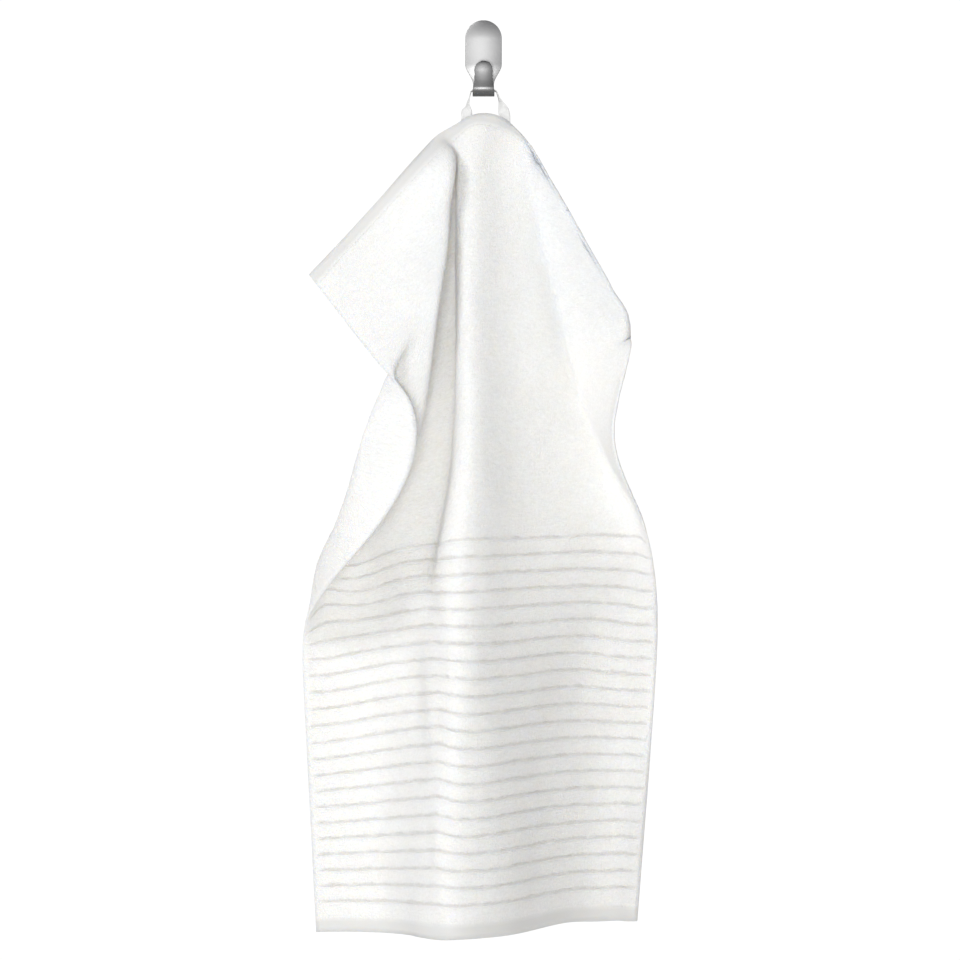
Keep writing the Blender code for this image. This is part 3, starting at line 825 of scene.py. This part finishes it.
def carry(piece: bpy.types.Object, name: str, vectors: Array) -> None:
    """Let a mesh carry a vector at each of its points."""
    layer = piece.data.attributes.new(name, "FLOAT_VECTOR", "POINT")
    layer.data.foreach_set("vector", np.ascontiguousarray(vectors, dtype=np.float32).ravel())


def round_rim(inward: Array, reach: float, least: float) -> Array:
    """Read how a sheet thins over the reach of its rim, down to the root of least at its edge."""
    return np.sqrt(np.clip(1 - (1 - np.clip(inward / reach, 0, 1)) ** 2, least, 1))


def grid_faces(start: int, rows: int, columns: int) -> Faces:
    """List the faces of a grid of points.

    Args:
        start: The number of its first point.
        rows: How many rows of points it has.
        columns: How many points a row has.

    Returns:
        Its faces, each from one corner down, across and up.
    """
    faces: Faces = []
    for row in range(rows - 1):
        for column in range(columns - 1):
            corner = start + row * columns + column
            faces.append((corner, corner + columns, corner + columns + 1, corner + 1))
    return faces


@dataclass
class HangingCloth:
    """The folds in which the cloth hangs, as one smooth surface."""

    folds: dict[str, Table] = field(default_factory=lambda: FOLDS)

    def surface(self, down: Array, across: Array) -> Array:
        """Work out a grid of places.

        Args:
            down: How far down the cloth each row lies.
            across: Where each column lies, from the cloth's middle.

        Returns:
            Right, forward and height for each row and column.
        """
        tables = [np.array(rows) for rows in self.folds.values()]
        lines = np.stack([natural_spline(rows[:, 0], rows[:, 1:], down) for rows in tables], axis=1)
        return np.array([natural_spline(row[:, 0], row[:, 1:], across) for row in lines])

    @staticmethod
    def normals(surface: Array) -> Array:
        """Work out which way the front of the cloth looks at each place of a grid."""
        normal = np.cross(np.gradient(surface, axis=1), np.gradient(surface, axis=0))
        return -normal / np.linalg.norm(normal, axis=2, keepdims=True)


@dataclass
class Crease:
    """A soft trough or ridge pressed into the cloth, from one place on it to another."""

    start: tuple[float, float]
    end: tuple[float, float]
    width: float
    height: float

    def lift(self, across: Array, down: Array) -> Array:
        """Work out how far the crease lifts the cloth along its normal.

        Args:
            across: Where each place lies across the cloth.
            down: How far down it lies.

        Returns:
            The lift at each place.
        """
        start, end = np.array(self.start), np.array(self.end)
        along = end - start
        length = np.linalg.norm(along)
        offset = np.stack([across - start[0], down - start[1]], axis=-1)
        reach = (offset @ along) / length ** 2
        aside = (offset[..., 0] * along[1] - offset[..., 1] * along[0]) / length
        fade = soft_step(reach, -0.15, 0.25) * (1 - soft_step(reach, 0.75, 1.15))
        return self.height * fade * np.exp(-(aside / self.width) ** 2)


@dataclass
class Towel:
    """The towel: one hemmed length of terry with a ribbed lower half, and the stitching of its hems."""

    width: float = 40.0
    length: float = 70.0
    hem_depth: float = 1.3
    hem_half: float = 0.10
    plain_half: float = 0.13
    pile_half: float = 0.155
    flat_half: float = 0.115
    rib_count: int = 22
    rib_pitch: float = 1.447
    rib_start: float = 36.72
    rib_margin: float = 0.5
    rib_sag: float = 1.25
    sag_across: Span = (10.5, 20.5)
    sag_down: Span = (38.0, 66.0)
    flat_share: float = 0.38
    side_rim: Span = (0.21, 0.12)
    end_rim: Span = (0.20, 0.16)
    rows_per_rib: int = 10
    plain_rows: int = 158
    hem_rows: int = 6
    columns: int = 192
    stitch_step: float = 0.34
    stitch_length: float = 0.26
    stitch_radius: float = 0.022
    stitch_margin: float = 0.4
    stitch_arch: tuple[float, ...] = (-0.02, 0.008, 0.014, 0.008, -0.02)
    top_seam_inset: float = 0.10
    bottom_seam_inset: float = 0.12
    rib_wobble: Unevenness = Unevenness(5, 1.4, 0.03)
    lumps: Unevenness = Unevenness(11, 0.30, 0.016)
    clumps: Unevenness = Unevenness(12, 0.75, 0.018)
    weave: Unevenness = Unevenness(13, 0.5, 0.004)
    sway: Unevenness = Unevenness(21, 4.2, 0.10)
    ripple: Unevenness = Unevenness(22, 1.9, 0.035)
    back_shift: float = 7.0
    cloth: HangingCloth = field(default_factory=HangingCloth)
    finish: TerryFinish = field(default_factory=TerryFinish)
    creases: tuple[Crease, ...] = (
        Crease((4.6, 1.6), (7.0, 9.0), 0.5, 0.10),
        Crease((-6.5, 2.0), (-13.5, 5.5), 0.8, 0.12),
        Crease((-10.0, 9.0), (-16.5, 8.0), 0.9, -0.10),
        Crease((-1.8, 1.2), (-0.4, 12.0), 0.5, -0.05),
        Crease((6.0, 12.0), (10.5, 17.0), 0.7, 0.09),
        Crease((12.5, 20.0), (16.5, 24.0), 0.6, 0.08),
    )

    def rows(self) -> Array:
        """List the rows of the mesh, closer together among the ribs.

        Returns:
            How far down the cloth each row lies.
        """
        ribs_end = self.rib_start + self.rib_count * self.rib_pitch
        return np.concatenate([
            np.linspace(0.0, self.hem_depth, self.hem_rows, endpoint=False),
            np.linspace(self.hem_depth, self.rib_start, self.plain_rows, endpoint=False),
            np.linspace(self.rib_start, ribs_end, self.rib_count * self.rows_per_rib, endpoint=False),
            np.linspace(ribs_end, self.length, self.hem_rows + 1),
        ])

    def profile(self, across: Array, down: Array) -> tuple[Array, Array, Array]:
        """Work out the cloth's thickness.

        Args:
            across: Where each place lies across the cloth.
            down: How far down it lies.

        Returns:
            Half the thickness, how much pile stands there from 0 to 1, and the place among the ribs with
            how ribbed and how much of a hem the cloth is.
        """
        sag = self.rib_sag * soft_step(across, *self.sag_across) * (1 - soft_step(down, *self.sag_down))
        phase = (down - sag - self.rib_start) / self.rib_pitch + self.rib_wobble.read(across, down)
        edge = np.mod(phase, 1.0)
        beside = np.abs(across) - (self.width / 2 - self.rib_margin)
        past_last = phase - self.rib_count
        ribbed = soft_step(phase, -0.3, -0.1) * (1 - soft_step(past_last, -0.3, -0.1))
        ribbed *= 1 - soft_step(beside, -0.15, 0.15)
        flat = (1 - soft_step(edge, self.flat_share - 0.1, self.flat_share + 0.1)) * ribbed
        flat *= soft_step(edge, -0.02, 0.08)
        hem_edge = self.length - self.hem_depth
        hem = 1 - soft_step(down, self.hem_depth - 0.12, self.hem_depth + 0.05) * (
            1 - soft_step(down, hem_edge - 0.05, hem_edge + 0.1))
        tall = self.plain_half + (self.pile_half - self.plain_half) * ribbed
        half = tall + (self.flat_half - tall) * flat
        half += (self.hem_half - half) * hem
        return half, 1 - hem, np.stack([phase, ribbed * (1 - hem), hem], axis=-1)

    def relief(self, across: Array, down: Array, pile: Array) -> Array:
        """Work out the small unevenness of the cloth's face, in centimetres."""
        tufted = self.lumps.read(across, down) + self.clumps.read(across, down)
        return tufted * pile + self.weave.read(across, down)

    def waves(self, across: Array, down: Array) -> Array:
        """Work out the cloth's own soft waves and creases.

        Args:
            across: Where each place lies across the cloth.
            down: How far down it lies.

        Returns:
            How far each place is lifted, in centimetres.
        """
        wave = self.sway.read(across, down * 0.45) + self.ripple.read(across, down * 0.6)
        for crease in self.creases:
            wave = wave + crease.lift(across, down)
        return wave

    def make(self) -> list[bpy.types.Object]:
        """Build the cloth and its stitches.

        Returns:
            The pieces.
        """
        down = self.rows()
        across = np.linspace(-self.width / 2, self.width / 2, self.columns + 1)
        surface = self.cloth.surface(down, across)
        normal = self.cloth.normals(surface)
        places_across, places_down = np.meshgrid(across, down)
        half, pile, ribs = self.profile(places_across, places_down)
        waves = self.waves(places_across, places_down)
        rim = self.rim_rounding(places_across, places_down)
        middle = surface + normal * waves[..., None]
        sides = {}
        for side in Side:
            shift = self.back_shift if side is Side.BACK else 0.0
            height = half * rim + self.relief(places_across + shift, places_down, pile) * rim
            sides[side] = middle + normal * (side.value * height)[..., None]
        towel = self.join_sides(sides, places_across, places_down, pile, ribs)
        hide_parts("towel")
        stitches = self.make_stitches(down, across, middle, normal, half)
        return [towel, stitches]

    def rim_rounding(self, across: Array, down: Array) -> Array:
        """Thin the cloth towards its edges, so that its rim is round."""
        side = round_rim(self.width / 2 - np.abs(across), *self.side_rim)
        return side * round_rim(np.minimum(down, self.length - down), *self.end_rim)

    def join_sides(
        self, sides: dict[Side, Array], across: Array, down: Array, pile: Array, ribs: Array
    ) -> bpy.types.Object:
        """Join the front and a back of half as many rows and columns into one closed mesh.

        Args:
            sides: The points of each side.
            across: Where each place lies across the cloth.
            down: How far down it lies.
            pile: How much pile stands there.
            ribs: The place among the ribs, how ribbed it is, and how much of a hem.

        Returns:
            The towel.
        """
        front = sides[Side.FRONT]
        back = sides[Side.BACK][::2, ::2]
        rows, columns = front.shape[:2]
        back_rows, back_columns = back.shape[:2]
        start = rows * columns
        faces = grid_faces(0, rows, columns)
        faces += [(face[0], *reversed(face[1:])) for face in grid_faces(start, back_rows, back_columns)]
        rim = [(0, column) for column in range(columns)]
        rim += [(row, columns - 1) for row in range(1, rows)]
        rim += [(rows - 1, column) for column in range(columns - 2, -1, -1)]
        rim += [(row, 0) for row in range(rows - 2, -1, -1)]
        for i in range(0, len(rim) - 1, 2):
            first, between, last = (row * columns + column for row, column in rim[i:i + 3])
            near = start + rim[i][0] // 2 * back_columns + rim[i][1] // 2
            far = start + rim[i + 2][0] // 2 * back_columns + rim[i + 2][1] // 2
            faces += [(near, first, between), (near, between, far), (far, between, last)]
        points = to_metres(np.concatenate([front.reshape(-1, 3), back.reshape(-1, 3)]))
        towel = add_piece("terry_towel", points, faces, self.finish.paint())
        for name, values in (("cloth", np.stack([across, down, pile], axis=-1)), ("rib", ribs)):
            both = [values.reshape(-1, 3), values[::2, ::2].reshape(-1, 3)]
            carry(towel, name, np.concatenate(both))
        return towel

    def make_stitches(
        self, down: Array, across: Array, middle: Array, normal: Array, half: Array
    ) -> bpy.types.Object:
        """Sew both hems with short stitches on the front and the back.

        Args:
            down: The rows of the cloth's grid.
            across: Its columns.
            middle: The middle of the cloth there.
            normal: Which way its front looks there.
            half: Half its thickness there.

        Returns:
            The stitches, as one piece.
        """
        points, faces = [], []
        count = int((self.width - 2 * self.stitch_margin) / self.stitch_step)
        bottom_seam = self.length - self.hem_depth + self.bottom_seam_inset
        for seam in (self.hem_depth - self.top_seam_inset, bottom_seam):
            row = int(np.argmin(np.abs(down - seam)))
            for number in range(count):
                start = -self.width / 2 + self.stitch_margin + number * self.stitch_step
                places = np.linspace(start, start + self.stitch_length, len(self.stitch_arch))
                level = normal[row, int(np.argmin(np.abs(across - start)))]
                for side in Side:
                    line = self.stitch_line(places, across, middle[row], normal[row], half[row], side)
                    add_thread(points, faces, line, level, self.stitch_radius)
        finish = ThreadFinish().paint()
        return add_piece("hem_stitches", to_metres(np.array(points)), faces, finish)

    def stitch_line(
        self, places: Array, across: Array, middle: Array, normal: Array, half: Array, side: Side
    ) -> Array:
        """Lay one stitch on the cloth, sunk at its ends.

        Args:
            places: Where the stitch's points lie across the cloth.
            across: The columns of the cloth's grid.
            middle: The middle of the cloth in the seam's row.
            normal: Which way its front looks there.
            half: Half its thickness there.
            side: The side that the stitch lies on.

        Returns:
            The stitch's points.
        """
        centre = np.stack([np.interp(places, across, middle[:, i]) for i in range(3)], axis=1)
        looks = np.stack([np.interp(places, across, normal[:, i]) for i in range(3)], axis=1)
        thick = np.interp(places, across, half)
        return centre + looks * (side.value * (thick + np.array(self.stitch_arch)))[:, None]


def add_thread(
    points: list[Array], faces: Faces, line: Array, level: Array, radius: float, sides: int = 5
) -> None:
    """Add one closed stretch of thread to a mesh in the making.

    Args:
        points: The mesh's points so far.
        faces: Its faces so far.
        line: The thread's middle.
        level: A direction across the thread.
        radius: The thread's radius.
        sides: How many sides it has.
    """
    tangent = np.gradient(line, axis=0)
    tangent /= np.linalg.norm(tangent, axis=1, keepdims=True)
    start = len(points)
    for here, along in zip(line, tangent):
        first = level - along * along.dot(level)
        first /= np.linalg.norm(first)
        second = np.cross(along, first)
        for angle in np.arange(sides) * math.tau / sides:
            points.append(here + radius * (first * math.cos(angle) + second * math.sin(angle)))
    for ring in range(len(line) - 1):
        for i in range(sides):
            low = start + ring * sides
            j = (i + 1) % sides
            faces.append((low + i, low + j, low + sides + j, low + sides + i))
    faces.append(tuple(start + i for i in reversed(range(sides))))
    faces.append(tuple(start + (len(line) - 1) * sides + i for i in range(sides)))


def loft(rings: Array) -> Faces:
    """Join rings of equally many points into one closed body with flat ends.

    Args:
        rings: The rings' points, in order.

    Returns:
        The body's faces.
    """
    count, size = rings.shape[:2]
    faces: Faces = []
    for start in range(0, (count - 1) * size, size):
        for i in range(size):
            j = (i + 1) % size
            faces.append((start + i, start + j, start + size + j, start + size + i))
    faces.append(tuple(reversed(range(size))))
    faces.append(tuple(range((count - 1) * size, count * size)))
    return faces


@dataclass
class HangingLoop:
    """The loop: a woven tape that runs up from the hem, through the hook and down again."""

    width: float = 0.96
    thickness: float = 0.10
    stations: int = 150
    across: int = 12
    middle_share: float = 0.72
    edge_share: float = 0.55
    bead_inset: float = 0.07
    bead_half: float = 0.05
    finish: TapeFinish = field(default_factory=TapeFinish)

    def make(self) -> list[bpy.types.Object]:
        """Build the tape.

        Returns:
            The one piece.
        """
        route = np.array(TAPE_ROUTE)
        steps = np.linalg.norm(np.diff(route[:, :3], axis=0), axis=1)
        places = np.concatenate([[0.0], np.cumsum(steps)])
        along = np.linspace(0, places[-1], self.stations)
        line = natural_spline(places, route, along)
        tangent = np.gradient(line[:, :3], axis=0)
        tangent /= np.linalg.norm(tangent, axis=1, keepdims=True)
        outline = self.outline()
        rings, layers = [], []
        for centre, forward, turn, place in zip(line[:, :3], tangent, np.radians(line[:, 3]), along):
            level = np.array([0.0, 1.0, 0.0]) - forward * forward[1]
            level /= np.linalg.norm(level)
            aside = np.cross(forward, level)
            width = level * math.cos(turn) - aside * math.sin(turn) * np.sign(forward[2] or 1.0)
            face = np.cross(forward, width)
            rings.append([centre + width * u + face * v for u, v in outline])
            layers += [(u, place, 0.0) for u, _ in outline]
        rings = np.array(rings)
        points = to_metres(rings.reshape(-1, 3))
        tape = add_piece("loop_tape", points, loft(rings), self.finish.paint())
        tape.data.flip_normals()
        carry(tape, "tape", np.array(layers))
        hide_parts("hanging_loop")
        return [tape]

    def outline(self) -> list[tuple[float, float]]:
        """Draw the tape's cross-section, with its two woven edges a little thicker than its middle.

        Returns:
            Its points, as (across, out) pairs.
        """
        places = np.linspace(-self.width / 2, self.width / 2, self.across)
        beads = np.exp(-((np.abs(places) - self.width / 2 + self.bead_inset) / self.bead_half) ** 2)
        half = self.thickness / 2 * (self.middle_share + (1 - self.middle_share) * beads)
        half[[0, -1]] *= self.edge_share
        upper = [(u, v) for u, v in zip(places, half)]
        return upper + [(u, -v) for u, v in reversed(upper)]


@dataclass
class WallHook:
    """The hook: one strip of sheet steel with a round top, a narrow neck, a bend and a round tongue."""

    sheet: float = 0.15
    top: float = 2.65
    bend_height: float = -3.18
    bend_radius: float = 0.675
    tongue: float = 2.21
    flare: float = 0.12
    edge: float = 0.035
    plate_half: float = 1.56
    neck_half: float = 0.89
    cradle_half: float = 0.93
    tongue_half: float = 0.77
    plate_end: float = 3.75
    neck_place: float = 5.50
    cradle_start: float = 6.80
    cradle_end: float = 7.50
    tongue_start: float = 8.60
    end_angle: float = 8.0
    end_steps: int = 22
    stations: int = 120
    edge_steps: int = 3
    crease_angle: float = 60.0
    finish: SteelFinish = field(default_factory=SteelFinish)

    def half_width(self, along: float) -> float:
        """Read the strip's width, without its round ends.

        Args:
            along: How far along the strip, from its top.

        Returns:
            Half the width there.
        """
        changes = (
            (self.plate_end, self.neck_place, self.plate_half, self.neck_half),
            (self.neck_place, self.cradle_start, self.neck_half, self.cradle_half),
            (self.cradle_end, self.tongue_start, self.cradle_half, self.tongue_half),
        )
        half = self.plate_half
        for start, end, before, after in changes:
            if along > start:
                part = min(1.0, (along - start) / (end - start))
                half = before + (after - before) * part * part * (3 - 2 * part)
        return half

    def centre(self, along: float) -> tuple[float, float, float, float]:
        """Read where the strip's middle runs.

        Args:
            along: How far along the strip, from its top.

        Returns:
            Forward and height of the middle, and forward and height of its outward normal.
        """
        back = self.sheet / 2
        plate = self.top - self.bend_height
        bend = math.pi * self.bend_radius
        if along <= plate:
            return back, self.top - along, -1.0, 0.0
        if along <= plate + bend:
            angle = (along - plate) / self.bend_radius
            forward = back + self.bend_radius * (1 - math.cos(angle))
            height = self.bend_height - self.bend_radius * math.sin(angle)
            return forward, height, -math.cos(angle), -math.sin(angle)
        up = along - plate - bend
        lean = self.flare * (up / self.tongue) ** 3
        tilt = math.atan(3 * self.flare * up ** 2 / self.tongue ** 3)
        return back + 2 * self.bend_radius + lean, self.bend_height + up, math.cos(tilt), -math.sin(tilt)

    def outline(self, half: float) -> list[tuple[float, float]]:
        """Draw the strip's cross-section with rounded edges.

        Args:
            half: Half the strip's width.

        Returns:
            Its points, as (across, outward) pairs.
        """
        corner = []
        for step in range(self.edge_steps + 1):
            angle = math.pi / 2 * step / self.edge_steps
            aside = half - self.edge * (1 - math.sin(angle))
            corner.append((aside, self.sheet / 2 - self.edge * (1 - math.cos(angle))))
        right = corner + [(x, -out) for x, out in reversed(corner)]
        return right + [(-x, out) for x, out in reversed(right)]

    def make(self) -> list[bpy.types.Object]:
        """Build the hook.

        Returns:
            The one piece.
        """
        length = self.top - self.bend_height + math.pi * self.bend_radius + self.tongue
        angles = np.radians(np.linspace(self.end_angle, 90, self.end_steps, endpoint=False))
        rounds = [(1 - math.cos(angle), math.sin(angle)) for angle in angles]
        top = [(self.plate_half * inward, self.plate_half * half) for inward, half in rounds]
        tip = [(length - self.tongue_half * inward, self.tongue_half * half) for inward, half in rounds]
        middle = np.linspace(self.plate_half, length - self.tongue_half, self.stations)
        stations = top + [(along, self.half_width(along)) for along in middle] + tip[::-1]
        rings, layers = [], []
        for along, half in stations:
            forward, height, out_forward, out_height = self.centre(along)
            outline = self.outline(half)
            rings.append([(x, forward + out * out_forward, height + out * out_height) for x, out in outline])
            layers += [(x, along, 0.0) for x, _ in outline]
        rings = np.array(rings)
        points = to_metres(rings.reshape(-1, 3))
        hook = add_piece("steel_hook", points, loft(rings), self.finish.paint())
        hook.data.set_sharp_from_angle(angle=math.radians(self.crease_angle))
        carry(hook, "strip", np.array(layers))
        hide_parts("wall_hook")
        return [hook]


@dataclass
class Studio:
    """The floor, the light and the camera."""

    floor_height: float = -1.25
    floor_half: float = 3.0
    camera_place: Triple = (-0.003, -2.91, -0.3655)
    focal_pixels: float = 3412.0
    image_pixels: float = 960.0
    sensor_mm: float = 36.0
    backdrop: Colour = (1.05, 1.05, 1.05)
    light_behind: Colour = (0.85, 0.85, 0.85)
    light_left: Colour = (0.35, 0.35, 0.36)
    light_right: Colour = (0.30, 0.30, 0.31)
    light_below: Colour = (0.20, 0.198, 0.195)
    backward_span: Span = (-0.1, 0.6)
    rightward_span: Span = (-0.7, 0.5)
    upward_span: Span = (-0.5, -0.15)
    target: Triple = (-0.05, -0.05, -0.40)
    key_place: Triple = (-1.50, -1.75, 1.25)
    key_size: float = 0.9
    key_power: float = 28.0
    fill_place: Triple = (-0.15, -3.15, -0.55)
    fill_size: float = 0.7
    fill_power: float = 45.0

    def make(self) -> None:
        """Set up all that isn't part of the object."""
        self.make_world()
        self.make_floor()
        self.make_light("key", self.key_place, self.target, self.key_size, self.key_power)
        self.make_light("fill", self.fill_place, self.target, self.fill_size, self.fill_power)
        self.make_camera()
        bpy.context.scene.view_settings.view_transform = "Standard"
        bpy.context.scene.view_settings.look = "None"

    def make_world(self) -> None:
        """Surround the object with a white backdrop and soft light, brighter behind and at the left."""
        world = bpy.data.worlds.new("studio_white")
        bpy.context.scene.world = world
        world.use_nodes = True
        nodes = Nodes(world.node_tree)
        direction = nodes.node("ShaderNodeTexCoord", {}, {}).outputs["Generated"]
        behind = nodes.part(direction, "Y").ramp(*self.backward_span)
        rightward = nodes.part(direction, "X").ramp(*self.rightward_span)
        above = nodes.part(direction, "Z").ramp(*self.upward_span)
        front = nodes.blend(rightward, self.light_left, self.light_right)
        around = nodes.blend(above, self.light_below, front)
        light = nodes.blend(behind * above, around, self.light_behind)
        seen = nodes.node("ShaderNodeLightPath", {}, {}).outputs["Is Camera Ray"]
        colour = nodes.blend(seen, light, self.backdrop)
        nodes.feed(world.node_tree.nodes["Background"].inputs["Color"], colour)

    def make_floor(self) -> None:
        """Lay the floor, well below the towel."""
        half, height = self.floor_half, self.floor_height
        mesh = bpy.data.meshes.new("floor")
        corners = [(-half, -half, height), (half, -half, height), (half, half, height), (-half, half, height)]
        mesh.from_pydata(corners, [], [(0, 1, 2, 3)])
        mesh.materials.append(FloorFinish().paint())
        floor = bpy.data.objects.new("floor", mesh)
        bpy.context.scene.collection.objects.link(floor)

    @staticmethod
    def make_light(name: str, place: Triple, target: Triple, size: float, power: float) -> None:
        """Add a soft square light that looks at a target.

        Args:
            name: The light's name.
            place: Where it stands, in metres.
            target: What it looks at.
            size: Its side, in metres.
            power: Its power, in watts.
        """
        data = bpy.data.lights.new(name, "AREA")
        data.energy = power
        data.size = size
        light = bpy.data.objects.new(name, data)
        light.location = place
        aim = [end - start for start, end in zip(place, target)]
        flat = math.hypot(aim[0], aim[1])
        light.rotation_euler = (math.pi / 2 + math.atan2(aim[2], flat), 0.0, math.atan2(-aim[0], aim[1]))
        bpy.context.scene.collection.objects.link(light)

    def make_camera(self) -> None:
        """Stand the camera where the photograph was taken from, level and facing the wall."""
        data = bpy.data.cameras.new("camera")
        data.sensor_width = self.sensor_mm
        data.lens = self.focal_pixels * self.sensor_mm / self.image_pixels
        camera = bpy.data.objects.new("camera", data)
        camera.location = self.camera_place
        camera.rotation_euler = (math.pi / 2, 0.0, 0.0)
        bpy.context.scene.collection.objects.link(camera)
        bpy.context.scene.camera = camera


def main() -> None:
    """Build each sub-assembly in order, log each piece's face count, then set up the studio."""
    logging.basicConfig(level=logging.INFO, format="%(name)s: %(message)s")
    for maker in (Towel(), HangingLoop(), WallHook()):
        for piece in maker.make():
            LOG.info("%s has %d faces", piece.name, len(piece.data.polygons))
    Studio().make()


if __name__ == "__main__":
    main()
